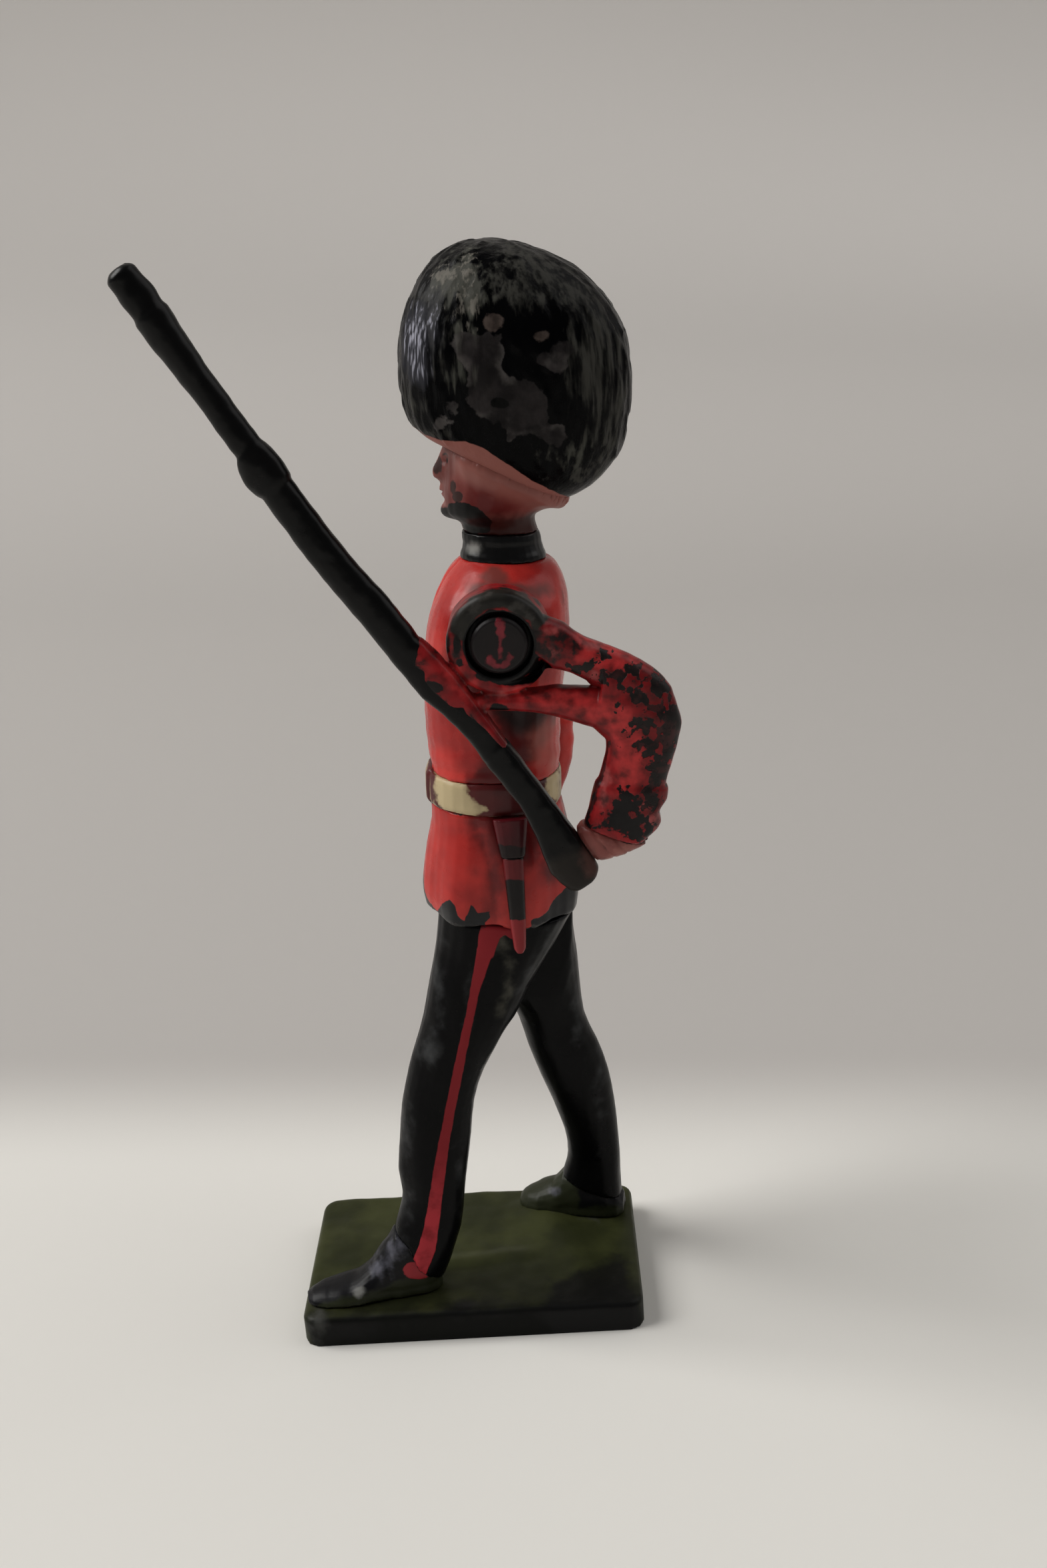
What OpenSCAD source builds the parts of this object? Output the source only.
// Toy soldier, a marching guardsman cast in metal, with a left arm that turns on a shoulder stud.
// It faces -X and its left hand is at -Y. The origin is the middle of the base's underside.

/* [Base] */
// Length of the base along the march
base_l = 19; // [18:0.5:22]
// Width of the base across the feet
base_w = 11.6; // [11:0.2:14]
// Thickness of the base
base_t = 1.9; // [1.4:0.1:2.6]
// Radius of the upright corners of the base
base_corner_r = 0.9; // [0.5:0.1:1.5]
// Width of the rounding along the base's upper edge
base_edge = 0.35; // [0.15:0.05:0.5]

/* [Legs] */
// Height of the tunic's hem above the base
leg_h = 22.1; // [18:0.5:26]
// Depth of the hips from front to back
hip_d = 7.4; // [6:0.2:8]
// Width across both thighs
hip_w = 7.4; // [6.4:0.2:8]
// Place of the hips behind the middle of the base
hip_x = 3.15; // [2:0.05:4]

/* [Boots] */
// Length of the left boot, the one in front
left_boot_l = 7.6; // [6.6:0.2:7.8]
// Length of the right boot, whose heel the leg covers
right_boot_l = 6.4; // [5.8:0.2:7]
// Width of a boot at the ball of the foot
boot_w = 2.8; // [2.2:0.1:3.2]
// Height of the instep under the trouser
boot_h = 4; // [3.4:0.2:4.6]

/* [Tunic] */
// Height of the skirt from its hem to the belt
skirt_h = 5.95; // [5:0.25:7]
// Height of the waist belt
belt_h = 1.7; // [1.2:0.1:2.4]
// Height from the belt to the collar
tunic_h = 10.95; // [9.5:0.25:12]
// Height of the collar
collar_h = 1.35; // [1:0.05:1.8]
// Depth of the tunic from front to back
torso_d = 8; // [7:0.2:9]
// Width of the tunic from side to side
torso_w = 8; // [7:0.2:8.4]
// Distance from the middle of the body to the flat seat of each arm
seat_y = 4; // [3.8:0.05:4.1]
// Backward lean of the body in degrees
lean = 3.5; // [0:0.5:6]

/* [Head] */
// Height from the collar to the rim of the bearskin cap
head_h = 2.93; // [2.4:0.1:3.6]
// Depth of the head
head_d = 5.9; // [5:0.1:6.5]
// Width of the head
head_w = 5.2; // [4.4:0.1:5.8]
// Height of the bearskin cap above its rim
bearskin_h = 10.75; // [8:0.25:13]
// Depth of the bearskin cap from front to back
bearskin_d = 11.4; // [9:0.2:12.4]
// Width of the bearskin cap from side to side
bearskin_w = 8.8; // [7.6:0.2:8.8]
// Slope of the bearskin's rim, down towards the neck, in degrees
rim_slope = 23.8; // [10:0.2:30]

/* [Shoulder stud] */
// Radius of the stud's shank
shank_r = 1.05; // [0.8:0.05:1.2]
// Radius of the stud's round head
stud_r = 1.37; // [1.3:0.01:1.5]
// Thickness of the stud's head
stud_t = 0.65; // [0.5:0.05:0.8]
// Height of the boss that the arm turns against
boss_t = 0.25; // [0.15:0.05:0.4]
// Radius of the boss
boss_r = 1.75; // [1.5:0.05:2]

/* [Left arm] */
// Outer radius of the ring that turns on the stud
ring_r = 2.5; // [2.2:0.05:2.8]
// Thickness of the ring
ring_t = 2.2; // [1.9:0.05:2.4]
// Distance from the stud's axis down to the hand
arm_l = 11; // [10:0.25:12]
// Width of the upper sleeve
sleeve_w = 4.2; // [3.6:0.1:4.6]
// Thickness of the sleeve
sleeve_t = 2.1; // [1.6:0.1:2.3]
// Swing of the arm at rest, from upright rifle towards the front, in degrees
arm_swing = 31.7; // [25:0.5:40]

/* [Right arm] */
// Distance from the shoulder down to the right cuff
right_arm_l = 11.5; // [10.5:0.25:12]
// Width of the right sleeve at the shoulder
right_sleeve_w = 4; // [3.4:0.1:4.4]
// Thickness of the right arm
right_sleeve_t = 2.4; // [2:0.1:2.8]
// Height of a cuff
cuff_h = 1.35; // [1:0.05:1.6]
// Height of the right hand
hand_h = 3.1; // [2.4:0.1:3.6]

/* [Rifle] */
// Length of the rifle above the stud's level
rifle_up = 23.2; // [18:0.4:25]
// Length of the rifle below the stud's level
rifle_down = 12.35; // [11.4:0.05:13]
// Distance from the stud's axis to the rifle's line
rifle_gap = 3.8; // [3.6:0.1:4.2]
// Width of the rifle's stock
stock_w = 1.7; // [1.4:0.1:2]
// Thickness of the rifle
rifle_t = 1.5; // [1.2:0.1:1.7]

/* [Bayonet] */
// Length of the frog that hangs from the belt
frog_l = 2; // [1.6:0.1:2.6]
// Width of the frog at the belt
frog_w = 1.8; // [1.4:0.1:2.2]
// Length of the bayonet's scabbard below the frog
scabbard_l = 5.1; // [4.4:0.1:6.4]
// Width of the scabbard
scabbard_w = 1.1; // [0.8:0.05:1.3]
// Thickness of the frog and scabbard
scabbard_t = 0.5; // [0.35:0.05:0.55]

/* [Hidden] */

// Colours of the old gloss paint
black_paint = "#17181a";
trouser_paint = "#20242b";
red_paint = "#b5302a";
buff_paint = "#b8ab8a";
green_paint = "#474d2c";
flesh_paint = "#b9705d";
bare_metal = "#3f3f42";

// Extra depth of a cut past the surface that it opens
overrun = 0.5;
// Running clearances of the arm on its stud
shank_clear = 0.05;
side_clear = 0.05;
head_clear = 0.23;
// Depth of the recess that the stud's head sits in
recess_d = 0.6;
// Rounding of the ring's edges
ring_edge = 0.45;

// Points round a limb, round the body, and steps between two rows of a table
limb_sides = 24;
body_sides = 32;
fine_sides = 36;
thin_sides = 16;
steps = 2;

// Heights up the leaning body, measured from the hem
belt_z = skirt_h;
tunic_z = belt_z + belt_h;
collar_z = tunic_z + tunic_h;
neck_z = collar_z + collar_h;
rim_z = neck_z + head_h;
hip_z = base_t + leg_h;
// The shoulders' share of the tunic's height
shoulder_share = 0.735;
shoulder_z = tunic_z + shoulder_share * tunic_h;
// Place of the rim's middle behind the body's line
rim_share = 0.026;
rim_x = rim_share * bearskin_d;

// Inner faces of the ring, the sleeve and the rifle, going out from the body
ring_y = seat_y + boss_t + side_clear;
sleeve_gap = 0.35;
sleeve_y = ring_y + sleeve_gap;
sleeve_mid_y = sleeve_y + sleeve_t / 2;
rifle_step = 0.75;
rifle_mid_y = sleeve_y + rifle_step + rifle_t / 2;

// Rows of the left leg, from the trouser's hem up to the hips:
// height, place along the march, half depth, place across, half width, slope, squareness
left_leg_shares = [
    [0.113, -0.79, 0.246, 0.392, 0.196, -37, 2.2],
    [0.186, -0.715, 0.243, 0.372, 0.192, -18, 2.2],
    [0.253, -0.676, 0.236, 0.351, 0.192, -5, 2.1],
    [0.321, -0.662, 0.257, 0.338, 0.203, -3, 2],
    [0.412, -0.62, 0.262, 0.311, 0.209, 0, 2],
    [0.502, -0.579, 0.264, 0.291, 0.216, 0, 2],
    [0.593, -0.493, 0.285, 0.27, 0.23, 0, 2],
    [0.661, -0.399, 0.307, 0.262, 0.236, 0, 2.1],
    [0.729, -0.297, 0.338, 0.236, 0.264, 0, 2.1],
    [0.819, -0.196, 0.372, 0.196, 0.304, 0, 2.2],
    [0.91, -0.074, 0.432, 0.135, 0.372, 0, 2.2],
    [1, 0.027, 0.493, 0.081, 0.419, 0, 2.3]
];
// The same rows for the right leg, which trails
right_leg_shares = [
    [0.079, 0.54, 0.257, 0.446, 0.196, -23, 2.2],
    [0.131, 0.557, 0.227, 0.438, 0.189, -10, 2.2],
    [0.186, 0.568, 0.214, 0.426, 0.186, 0, 2.1],
    [0.276, 0.547, 0.216, 0.392, 0.189, 0, 2],
    [0.367, 0.503, 0.236, 0.358, 0.196, 0, 2],
    [0.457, 0.439, 0.264, 0.324, 0.203, 0, 2],
    [0.548, 0.368, 0.268, 0.291, 0.216, 0, 2],
    [0.638, 0.293, 0.257, 0.264, 0.23, 0, 2],
    [0.729, 0.223, 0.304, 0.236, 0.257, 0, 2.1],
    [0.819, 0.155, 0.365, 0.196, 0.297, 0, 2.2],
    [0.91, 0.081, 0.426, 0.135, 0.372, 0, 2.2],
    [1, 0.027, 0.493, 0.081, 0.419, 0, 2.3]
];
// Heels of the two boots: place along the march and across, and the toes' turn-out in degrees
left_heel_shares = [-0.67, 0.372];
right_heel_shares = [0.79, 0.412];
left_turn = 9;
right_turn = 12.6;
// Rows of a boot from heel to toe: length, half width, height
left_boot_shares = [
    [0, 0.2, 0.25], [0.04, 0.36, 0.6], [0.12, 0.44, 1.1], [0.22, 0.46, 1.15], [0.31, 0.46, 1],
    [0.38, 0.45, 0.76], [0.5, 0.46, 0.5], [0.62, 0.5, 0.36], [0.75, 0.5, 0.29],
    [0.87, 0.43, 0.23], [0.96, 0.3, 0.17], [1, 0.17, 0.1]
];
right_boot_shares = [
    [0, 0.2, 0.25], [0.05, 0.36, 0.6], [0.14, 0.44, 0.9], [0.3, 0.46, 0.95], [0.45, 0.46, 0.9],
    [0.56, 0.46, 0.64], [0.66, 0.48, 0.43], [0.8, 0.48, 0.32], [0.91, 0.38, 0.22],
    [0.97, 0.27, 0.16], [1, 0.16, 0.1]
];

// Rows of the upright body pieces: height, place, half depth, half width, squareness
skirt_shares = [
    [0, -0.005, 0.495, 0.484, 2.3], [0.135, -0.011, 0.511, 0.496, 2.3],
    [0.3, -0.009, 0.507, 0.49, 2.3], [0.555, -0.006, 0.488, 0.469, 2.3],
    [0.807, -0.0175, 0.4425, 0.4375, 2.3], [1, -0.039, 0.424, 0.4125, 2.3]
];
belt_shares = [
    [0, -0.047, 0.43, 0.422, 2.3], [0.15, -0.048, 0.438, 0.43, 2.3],
    [0.85, -0.049, 0.438, 0.43, 2.3], [1, -0.049, 0.43, 0.422, 2.3]
];
tunic_shares = [
    [0, -0.041, 0.423, 0.41, 2.3], [0.123, -0.05, 0.43, 0.4125, 2.3],
    [0.279, -0.056, 0.4375, 0.431, 2.4], [0.479, -0.0425, 0.449, 0.485, 2.5],
    [0.671, -0.019, 0.449, 0.525, 2.5], [0.781, -0.003, 0.432, 0.53, 2.4],
    [0.858, 0.012, 0.4025, 0.494, 2.3], [0.927, 0.024, 0.361, 0.4125, 2.2],
    [0.973, 0.031, 0.319, 0.344, 2.1], [1, 0.029, 0.2775, 0.275, 2]
];
collar_shares = [
    [0, 0.019, 0.27, 0.258, 2], [0.2, 0.017, 0.266, 0.254, 2],
    [0.6, 0.0125, 0.25, 0.242, 2], [1, 0.0025, 0.242, 0.23, 2]
];
// Rows of the head from the neck to the rim: place, height, half depth, half width, slope, nose.
// The last row lies in the plane of the rim.
head_shares = [
    [0.005, 0, 0.315, 0.325, 0, 0], [-0.02, 0.14, 0.32, 0.34, 1, 0],
    [-0.081, 0.3, 0.378, 0.404, 3, 0], [-0.064, 0.49, 0.41, 0.455, 8.9, 0.01],
    [-0.03, 0.73, 0.454, 0.485, 15, 0.085], [0, 0.9, 0.495, 0.495, 19.8, 0.04]
];
head_top_shares = [0.029, 0.515, 0.495, 0.02];
// Rows of the bearskin: place, height, half depth, half width, slope
bearskin_shares = [
    [0, 0, 0.289, 0.352, 23.8], [0.014, 0.048, 0.374, 0.41, 16.5],
    [0.025, 0.126, 0.441, 0.452, 12], [0.035, 0.222, 0.481, 0.482, 10],
    [0.041, 0.359, 0.498, 0.498, 7.6], [0.042, 0.485, 0.493, 0.5, 5],
    [0.039, 0.615, 0.475, 0.488, 3.2], [0.031, 0.726, 0.435, 0.455, 3.5],
    [0.025, 0.817, 0.376, 0.398, 5], [0.018, 0.905, 0.292, 0.312, 6],
    [0.008, 0.966, 0.178, 0.19, 7], [0.004, 0.994, 0.06, 0.064, 7]
];

// Rows of the frog and of the scabbard, from below: height, half width
frog_shares = [[-1, 0.35], [-0.5, 0.43], [0, 0.5]];
scabbard_shares = [[-1, 0.16], [-0.96, 0.28], [-0.7, 0.38], [0, 0.5]];

// Rows of the right arm from the cuff up to the shoulder: place back, height,
// half width, half thickness, place out from the seat, slope
right_sleeve_shares = [
    [0.165, -1, 0.3125, 0.48, 0.42, -14], [0.196, -0.878, 0.3375, 0.5, 0.44, -10],
    [0.213, -0.722, 0.375, 0.52, 0.45, 0], [0.183, -0.583, 0.4, 0.53, 0.45, 12],
    [0.109, -0.383, 0.4375, 0.56, 0.45, 17], [0.039, -0.165, 0.4875, 0.6, 0.42, 12],
    [0.004, 0, 0.5, 0.62, 0.38, 4], [0.004, 0.078, 0.42, 0.55, 0.3, 0],
    [0.009, 0.117, 0.25, 0.3, 0.2, 0]
];
// Lower end of the right cuff: place back, half width, half thickness, place out, slope
right_cuff_shares = [0.13, 0.35, 0.52, 0.44, -14];
right_cuff_top_shares = [0.165, 0.36, 0.54, 0.44, -14];
// Rows of the right hand from the knuckles up: place forward, height, half width, half thickness
right_hand_shares = [
    [-0.24, 0, 0.13, 0.16, 0], [-0.21, 0.12, 0.24, 0.32, 0], [-0.13, 0.4, 0.31, 0.4, -4],
    [-0.06, 0.7, 0.3, 0.4, -10], [0, 1, 0.27, 0.36, -14]
];

// Rows of the left arm, with the rifle upright, from the stud's axis:
// place back, height, half width, half thickness, slope
hand_rows_shares = [
    [-0.204, -0.995, 0.265, 0.42, -81.7], [-0.136, -1.003, 0.338, 0.5, -68]
];
wrist_shares = [-0.084, -1.016, 0.38, 0.46, -53];
left_cuff_shares = [
    [-0.084, -1.016, 0.41, 0.54, -53], [-0.005, -0.966, 0.432, 0.55, -46.7],
    [0.054, -0.914, 0.438, 0.55, -42], [0.104, -0.861, 0.425, 0.54, -39]
];
forearm_shares = [
    [0.104, -0.861, 0.393, 0.49, -39], [0.143, -0.824, 0.39, 0.5, -41.5],
    [0.22, -0.761, 0.414, 0.5, -30]
];
elbow_shares = [0.277, -0.701, 0.452, 0.5, -17.9];
upper_sleeve_shares = [
    [0.311, -0.605, 0.467, 0.5, 3.8], [0.288, -0.52, 0.5, 0.5, 32.6]
];
fork_shares = [0.24, -0.415, 0.493, 0.48, 45.8];
// Each strand's share of the fork's width, and rows from there towards the ring
strand_share = 0.24;
front_strand_shares = [[0.053, -0.364, 0.183, 0.4, 58], [-0.055, -0.28, 0.126, 0.38, 54]];
front_foot_shares = [-0.165, 0.11, 0.34];
back_strand_shares = [
    [0.238, -0.238, 0.221, 0.4, 40], [0.196, -0.158, 0.274, 0.4, 38],
    [0.142, -0.098, 0.321, 0.38, 48]
];
strand_t_share = 0.42;

// Rows of the rifle from below: height, place back from the rifle's line, half width, half thickness.
// Heights below the stud are shares of the lower length, and above it of the upper length.
butt_shares = [
    [-1, 0.12, 0.32, 0.36, 3], [-0.975, 0.16, 0.54, 0.46, 3], [-0.88, 0.13, 0.67, 0.48, 3],
    [-0.73, 0.28, 0.53, 0.44, 2.8], [-0.57, 0.38, 0.45, 0.4, 2.5], [-0.42, 0.36, 0.46, 0.45, 2.6],
    [-0.34, 0.36, 0.47, 0.48, 2.6]
];
receiver_shares = [
    [-0.34, 0.36, 0.48, 0.5, 2.6], [-0.24, 0.35, 0.48, 0.5, 2.8], [-0.1, 0.28, 0.53, 0.5, 2.8],
    [0, 0.17, 0.62, 0.5, 2.8]
];
receiver_top_shares = [[0.078, 0.08, 0.58, 0.5, 2.6], [0.105, 0.03, 0.53, 0.5, 2.5]];
forestock_shares = [
    [0.105, 0.03, 0.52, 0.49, 2.4], [0.2, 0, 0.53, 0.48, 2.3], [0.32, -0.12, 0.5, 0.47, 2.2],
    [0.45, -0.13, 0.49, 0.46, 2.2], [0.51, -0.12, 0.49, 0.46, 2.2]
];
band_shares = [
    [0.51, -0.12, 0.55, 0.5, 2.3], [0.54, -0.14, 0.62, 0.52, 2.3], [0.57, -0.12, 0.58, 0.51, 2.3],
    [0.592, -0.07, 0.47, 0.46, 2.1]
];
barrel_shares = [
    [0.592, -0.06, 0.43, 0.43, 2], [0.63, -0.06, 0.41, 0.42, 2], [0.79, -0.04, 0.41, 0.41, 2],
    [0.91, 0.02, 0.4, 0.4, 2]
];
nose_cap_shares = [
    [0.91, 0.02, 0.45, 0.44, 2], [0.93, 0.03, 0.5, 0.46, 2], [0.957, 0.03, 0.5, 0.45, 2],
    [0.975, 0.02, 0.38, 0.38, 2], [1, 0.01, 0.28, 0.28, 2]
];

// Value at u along a list of rows, on a smooth curve through them
function along(rows, u) =
    let (last = len(rows) - 1, i = min(floor(u), last - 1), t = u - i,
         p = rows[max(i - 1, 0)], q = rows[i], r = rows[i + 1], s = rows[min(i + 2, last)])
    q + (r - p) * (t / 2) + (2 * p - 5 * q + 4 * r - s) * (t * t / 2)
      + (3 * q - p - 3 * r + s) * (t * t * t / 2);

// A list of rows with more rows between them
function smooth(rows, n = steps) = [for (k = [0 : (len(rows) - 1) * n]) along(rows, k / n)];

// Sine or cosine that squares up a circle as n grows past 2
function squared(v, n) = sign(v) * pow(abs(v), 2 / n);

// A ring of points round a centre: half depth a, half width b, slope in degrees, squareness n
function ring(centre, a, b, slope, n, sides) =
    [for (k = [0 : sides - 1])
        let (p = a * squared(cos(360 * k / sides), n), q = b * squared(sin(360 * k / sides), n))
        centre + [p * cos(slope), q, p * sin(slope)]];

// Rings cut off flat at low and high limits across the body
function held(rings, low, high) =
    [for (r = rings) [for (p = r) [p.x, max(low, min(high, p.y)), p.z]]];

// Middle of a ring's points
function middle(r) = [for (p = r) 1] * r / len(r);

// A closed solid skin over a stack of rings, whose two ends fan out from their middles
module skin(rings) {
    m = len(rings[0]);
    last = (len(rings) - 1) * m;
    ends = len(rings) * m;
    polyhedron(
        points = [for (r = rings) each r, middle(rings[0]), middle(rings[len(rings) - 1])],
        faces = [
            for (k = [0 : m - 1]) [ends, k, (k + 1) % m],
            for (j = [0 : len(rings) - 2], k = [0 : m - 1])
                let (a = j * m + k, b = j * m + (k + 1) % m) [a, a + m, b + m],
            for (j = [0 : len(rings) - 2], k = [0 : m - 1])
                let (a = j * m + k, b = j * m + (k + 1) % m) [a, b + m, b],
            for (k = [0 : m - 1]) [ends + 1, last + (k + 1) % m, last + k]
        ]);
}

// Places children in the leaning body's frame, whose origin is the middle of the hem
module leaning() translate([hip_x, 0, hip_z]) rotate([0, lean, 0]) children();

// Places children in the left arm's frame: origin on the stud's axis, rifle upright
module swung() leaning() translate([0, 0, shoulder_z]) rotate([0, -arm_swing - lean, 0]) children();

// Rounded rectangle of points, a level of the base
function slab_level(inset, z) =
    let (r = base_corner_r - inset, x = base_l / 2 - base_corner_r, y = base_w / 2 - base_corner_r)
    [for (q = [0 : 3], k = [0 : 6])
        let (turn = 90 * q + 15 * k, sx = (q == 0 || q == 3) ? 1 : -1, sy = (q < 2) ? 1 : -1)
        [sx * x + r * cos(turn), sy * y + r * sin(turn), z]];

// The slab is cut off level below, so that its underside is one flat face
module base() {
    color(green_paint) difference() {
        skin([
            slab_level(0, -overrun),
            slab_level(0, base_t - base_edge),
            slab_level(base_edge * (1 - cos(45)), base_t - base_edge * (1 - sin(45))),
            slab_level(base_edge, base_t)
        ]);
        translate([-base_l, -base_w, -2 * overrun]) cube([2 * base_l, 2 * base_w, 2 * overrun]);
    }
}

// Ring of a leg from its row of shares, on one side of the body
function leg_ring(row, side) =
    ring([hip_x + row[1] * hip_d,
          side * row[3] * hip_w,
          base_t + row[0] * (leg_h - row[1] * hip_d * tan(lean))],
         row[2] * hip_d, row[4] * hip_w, row[5] - lean * row[0], row[6], limb_sides);

module left_trouser_leg() {
    rings = [for (row = smooth(left_leg_shares)) leg_ring(row, -1)];
    color(trouser_paint) skin(held(rings, -hip_w, 0));
}

module right_trouser_leg() {
    rings = [for (row = smooth(right_leg_shares)) leg_ring(row, 1)];
    color(trouser_paint) skin(held(rings, 0, hip_w));
}

// Height of a trouser hem's plane over a place along the march
function hem_z(row, x) =
    base_t + row[0] * (leg_h - row[1] * hip_d * tan(lean))
    + (x - hip_x - row[1] * hip_d) * tan(row[5] - lean * row[0]);

// Ring of a boot, flat on the base and under the trouser's hem
function boot_ring(row, length, heel, turn, hem) =
    let (toe_way = [-cos(turn), sin(turn), 0], side_way = [-sin(turn), -cos(turn), 0])
    [for (k = [0 : limb_sides - 1])
        let (v = row[1] * boot_w * squared(cos(360 * k / limb_sides), 2.2),
             h = row[2] * boot_h * squared(sin(360 * k / limb_sides), 2.2),
             p = heel + row[0] * length * toe_way + v * side_way)
        [p.x, p.y, min(base_t + max(h, 0), hem_z(hem, p.x))]];

module left_boot() {
    heel = [hip_x + left_heel_shares[0] * hip_d, -left_heel_shares[1] * hip_w, 0];
    color(black_paint) skin([for (row = left_boot_shares)
        boot_ring(row, left_boot_l, heel, -left_turn, left_leg_shares[0])]);
}

module right_boot() {
    heel = [hip_x + right_heel_shares[0] * hip_d, right_heel_shares[1] * hip_w, 0];
    color(black_paint) skin([for (row = right_boot_shares)
        boot_ring(row, right_boot_l, heel, right_turn, right_leg_shares[0])]);
}

// Level rings of a body piece of the given height, standing at z
function body_rings(rows, z, height) =
    [for (row = smooth(rows))
        ring([row[1] * torso_d, 0, z + row[0] * height],
             row[2] * torso_d, row[3] * torso_w, 0, row[4], body_sides)];

module tunic_skirt() {
    color(red_paint) leaning() skin(body_rings(skirt_shares, 0, skirt_h));
}

module waist_belt() {
    color(buff_paint) leaning() skin(body_rings(belt_shares, belt_z, belt_h));
}

module tunic() {
    color(red_paint) leaning() skin(held(body_rings(tunic_shares, tunic_z, tunic_h), -seat_y, seat_y));
}

module collar() {
    color(black_paint) leaning() skin(body_rings(collar_shares, collar_z, collar_h));
}

// The head swells from the neck to the cap's rim, and the foremost points stand out as the nose
module head() {
    top_x = head_top_shares[0] * head_d;
    rows = [for (row = head_shares)
        [row[0] * head_d, neck_z + row[1] * head_h, row[2] * head_d, row[3] * head_w, row[4],
         row[5] * head_d]];
    top = [top_x, rim_z - (top_x - rim_x) * tan(rim_slope), head_top_shares[1] * head_d,
           head_top_shares[2] * head_w, rim_slope, head_top_shares[3] * head_d];
    rings = [for (row = smooth([each rows, top]))
        let (r = ring([row[0], 0, row[1]], row[2], row[3], -row[4], 2.1, limb_sides))
        [for (k = [0 : limb_sides - 1]) r[k] - (k == limb_sides / 2 ? [row[5], 0, 0] : [0, 0, 0])]];
    color(flesh_paint) leaning() skin(rings);
}

module bearskin() {
    rows = smooth(bearskin_shares);
    color(black_paint) leaning() skin([for (row = rows)
        ring([rim_x + row[0] * bearskin_d, 0, rim_z + row[1] * bearskin_h],
             row[2] * bearskin_d, row[3] * bearskin_w, -row[4] * rim_slope / bearskin_shares[0][4],
             2.1, fine_sides)]);
}

// Ring of the right arm: place back, height, half width, half thickness, place out, slope
function right_ring(row) =
    ring([row[0], seat_y + row[4], row[1]], row[2], row[3], row[5], 2.2, limb_sides);

// Heights of the right cuff's two ends
cuff_top_z = shoulder_z - right_arm_l;
cuff_low_z = cuff_top_z - cuff_h;

module right_sleeve() {
    rows = [for (row = smooth(right_sleeve_shares))
        [row[0] * right_arm_l, shoulder_z + row[1] * right_arm_l, row[2] * right_sleeve_w,
         row[3] * right_sleeve_t, row[4] * right_sleeve_t, row[5]]];
    color(red_paint) leaning()
        skin(held([for (row = rows) right_ring(row)], seat_y, seat_y + torso_w));
}

module right_cuff() {
    low = right_cuff_shares;
    top = right_cuff_top_shares;
    rows = [
        [low[0] * right_arm_l, cuff_low_z, low[1] * right_sleeve_w,
         low[2] * right_sleeve_t, low[3] * right_sleeve_t, low[4]],
        [top[0] * right_arm_l, cuff_top_z, top[1] * right_sleeve_w,
         top[2] * right_sleeve_t, top[3] * right_sleeve_t, top[4]]
    ];
    color(black_paint) leaning()
        skin(held([for (row = rows) right_ring(row)], seat_y, seat_y + torso_w));
}

module right_hand() {
    wrist_x = right_cuff_shares[0] * right_arm_l;
    out = right_cuff_shares[3] * right_sleeve_t;
    color(flesh_paint) leaning() skin(held([for (row = smooth(right_hand_shares))
        right_ring([wrist_x + row[0] * hand_h, cuff_low_z + (row[1] - 1) * hand_h,
                    row[2] * right_sleeve_w, row[3] * right_sleeve_t, out, row[4]])],
        seat_y, seat_y + torso_w));
}

// The frog and the scabbard hang close to the skirt, which flares towards its hem
frog_place_share = 0.055;
frog_tilt = 4;
frog_gap = 0.13;
flare = atan((skirt_shares[1][3] - skirt_shares[5][3]) * torso_w / skirt_h);
module hanging() {
    leaning()
        translate([frog_place_share * torso_d, -belt_shares[0][3] * torso_w - frog_gap, belt_z])
        rotate([-flare, -frog_tilt, 0]) children();
}

// Level ring of the frog or the scabbard, flat on the side of the skirt
function hung_ring(z, half_w) =
    [for (p = ring([0, 0, z], half_w, scabbard_t, 0, 3, thin_sides)) [p.x, min(p.y, 0), p.z]];

module bayonet_frog() {
    color(red_paint) hanging() skin([for (row = frog_shares)
        hung_ring(row[0] * frog_l, row[1] * frog_w)]);
}

module bayonet_scabbard() {
    color(black_paint) hanging() skin([for (row = scabbard_shares)
        hung_ring(row[0] * scabbard_l - frog_l, row[1] * scabbard_w)]);
}

// The stud is cast with the body: a boss, a shank and a round head that keeps the arm on
module shoulder_stud() {
    head_y = ring_y + ring_t - recess_d + side_clear;
    dome = stud_t / 4;
    color(bare_metal) leaning() translate([0, 0, shoulder_z]) rotate([90, 0, 0])
        rotate_extrude($fn = 48) polygon([
            [0, seat_y], [boss_r, seat_y], [boss_r, seat_y + boss_t], [shank_r, seat_y + boss_t],
            [shank_r, head_y], [stud_r, head_y], [stud_r, head_y + stud_t - dome],
            [stud_r - dome, head_y + stud_t], [0, head_y + stud_t]
        ]);
}

// The arm's ring, bored for the shank and recessed for the stud's head
module shoulder_ring() {
    outer_y = ring_y + ring_t;
    recess_r = stud_r + head_clear;
    bore_r = shank_r + shank_clear;
    round_points = [for (k = [0 : 5]) 18 * k];
    color(bare_metal) swung() rotate([90, 0, 0]) rotate_extrude($fn = 48) polygon([
        [bore_r, ring_y], [ring_r, ring_y],
        for (a = round_points)
            [ring_r - ring_edge * (1 - cos(a)), outer_y - ring_edge * (1 - sin(a))],
        [recess_r, outer_y], [recess_r, outer_y - recess_d], [bore_r, outer_y - recess_d]
    ]);
}

// Ring of the left arm from a row of real sizes: back, height, half width, half thickness, slope
function arm_ring(row, mid_y = sleeve_mid_y) =
    ring([row[0], -mid_y, row[1]], row[2], row[3], row[4], 2.4, limb_sides);

// Rows of shares made real sizes
function arm_row(row) =
    [row[0] * arm_l, row[1] * arm_l, row[2] * sleeve_w, row[3] * sleeve_t, row[4]];
function arm_rows(rows) = [for (row = rows) arm_row(row)];

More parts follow.
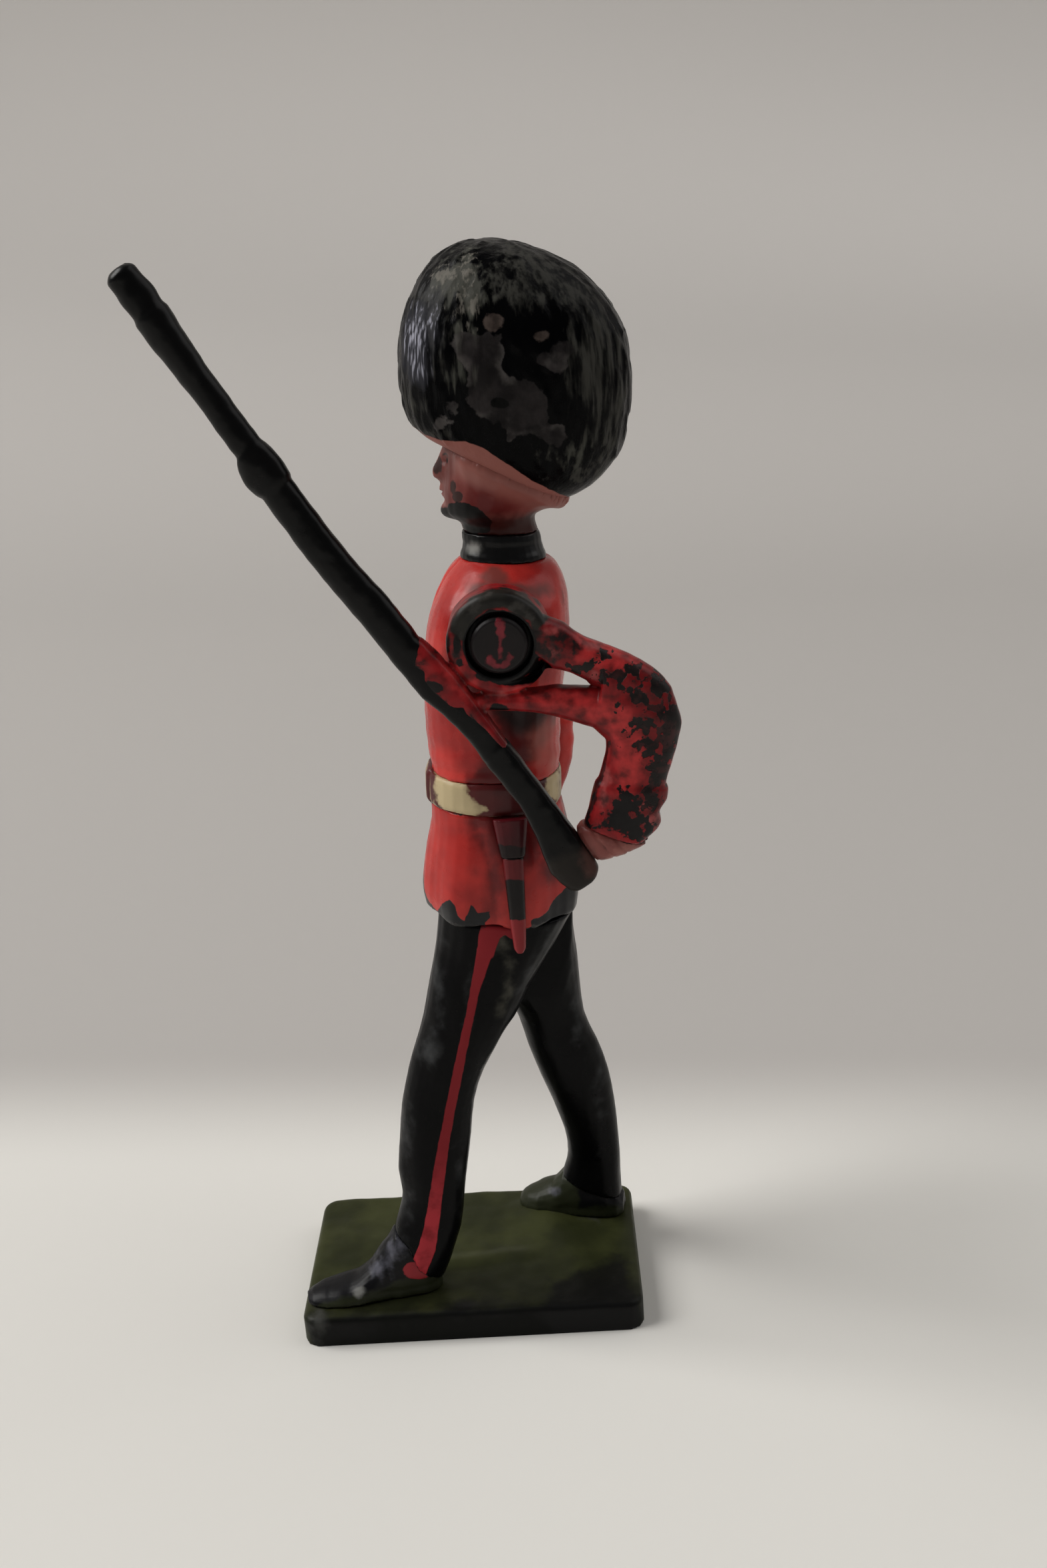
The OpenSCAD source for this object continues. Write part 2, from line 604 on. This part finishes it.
// Row of one strand where it joins the fork of the upper sleeve
function strand_end(side) =
    let (fork = arm_row(fork_shares), off = side * (fork[2] / 2))
    [fork[0] + off * cos(fork[4]), fork[1] + off * sin(fork[4]),
     strand_share * sleeve_w, strand_t_share * sleeve_t, fork[4]];

// The cylinder of the ring, which the strands are fitted round
module ring_space() {
    rotate([90, 0, 0]) translate([0, 0, ring_y - ring_t])
        cylinder(r = ring_r, h = 3 * ring_t, $fn = 48);
}

module sleeve_back_strand() {
    rows = [strand_end(1), each arm_rows(back_strand_shares)];
    color(red_paint) swung() difference() {
        skin([for (row = smooth(rows)) arm_ring(row)]);
        ring_space();
    }
}

module sleeve_front_strand() {
    foot = front_foot_shares;
    rows = [strand_end(-1), each arm_rows(front_strand_shares),
            [-ring_r, foot[0] * arm_l, foot[1] * sleeve_w, foot[2] * sleeve_t, 90]];
    color(red_paint) swung() difference() {
        skin([for (row = smooth(rows)) arm_ring(row)]);
        ring_space();
    }
}

module upper_sleeve() {
    rows = [arm_row(elbow_shares), each arm_rows(upper_sleeve_shares), arm_row(fork_shares)];
    color(red_paint) swung() skin([for (row = smooth(rows, 3)) arm_ring(row)]);
}

module forearm_sleeve() {
    rows = [each arm_rows(forearm_shares), arm_row(elbow_shares)];
    color(red_paint) swung() skin([for (row = smooth(rows)) arm_ring(row)]);
}

module left_cuff() {
    color(black_paint) swung() skin([for (row = smooth(arm_rows(left_cuff_shares))) arm_ring(row)]);
}

// Face of the butt that the hand is closed on, and its place down the rifle
butt_seat_share = 0.79;
butt_seat_x = butt_seat_share * stock_w - rifle_gap;
grip_share = -0.99;
grip_half_share = 0.22;
grip_t_share = 0.4;

module left_hand() {
    rows = [
        [butt_seat_x, grip_share * arm_l, grip_half_share * sleeve_w, grip_t_share * sleeve_t, -90],
        each arm_rows(hand_rows_shares), arm_row(wrist_shares)
    ];
    color(flesh_paint) swung() skin([for (row = smooth(rows)) arm_ring(row)]);
}

// Ring of the rifle at a real height, from the shares of its row
function rifle_ring(row, z) =
    ring([row[1] * stock_w - rifle_gap, -rifle_mid_y, z],
         row[2] * stock_w, row[3] * rifle_t, 0, row[4], thin_sides);

// Rings of a stretch of rifle, whose heights are shares of one length
function rifle_rings(rows, length) =
    [for (row = smooth(rows)) rifle_ring(row, row[0] * length)];

// Rings cut off flat on the side towards the arm
function cut_back(rings, limit) =
    [for (r = rings) [for (p = r) [min(p.x, limit), p.y, p.z]]];

module rifle_butt() {
    color(black_paint) swung() skin(cut_back(rifle_rings(butt_shares, rifle_down), butt_seat_x));
}

module rifle_receiver() {
    lower = [for (row = receiver_shares) [row[0] * rifle_down, row[1], row[2], row[3], row[4]]];
    upper = [for (row = receiver_top_shares) [row[0] * rifle_up, row[1], row[2], row[3], row[4]]];
    color(red_paint) swung() skin(cut_back(
        [for (row = smooth([each lower, each upper])) rifle_ring(row, row[0])], -ring_r));
}

module rifle_forestock() {
    color(black_paint) swung() skin(rifle_rings(forestock_shares, rifle_up));
}

module rifle_band() {
    color(black_paint) swung() skin(rifle_rings(band_shares, rifle_up));
}

module rifle_barrel() {
    color(black_paint) swung() skin(rifle_rings(barrel_shares, rifle_up));
}

module rifle_nose_cap() {
    color(black_paint) swung() skin(rifle_rings(nose_cap_shares, rifle_up));
}

base();
left_boot();
right_boot();
left_trouser_leg();
right_trouser_leg();
tunic_skirt();
bayonet_frog();
bayonet_scabbard();
waist_belt();
tunic();
collar();
head();
bearskin();
right_sleeve();
right_cuff();
right_hand();
shoulder_stud();
shoulder_ring();
sleeve_back_strand();
sleeve_front_strand();
upper_sleeve();
forearm_sleeve();
left_cuff();
left_hand();
rifle_butt();
rifle_receiver();
rifle_forestock();
rifle_band();
rifle_barrel();
rifle_nose_cap();
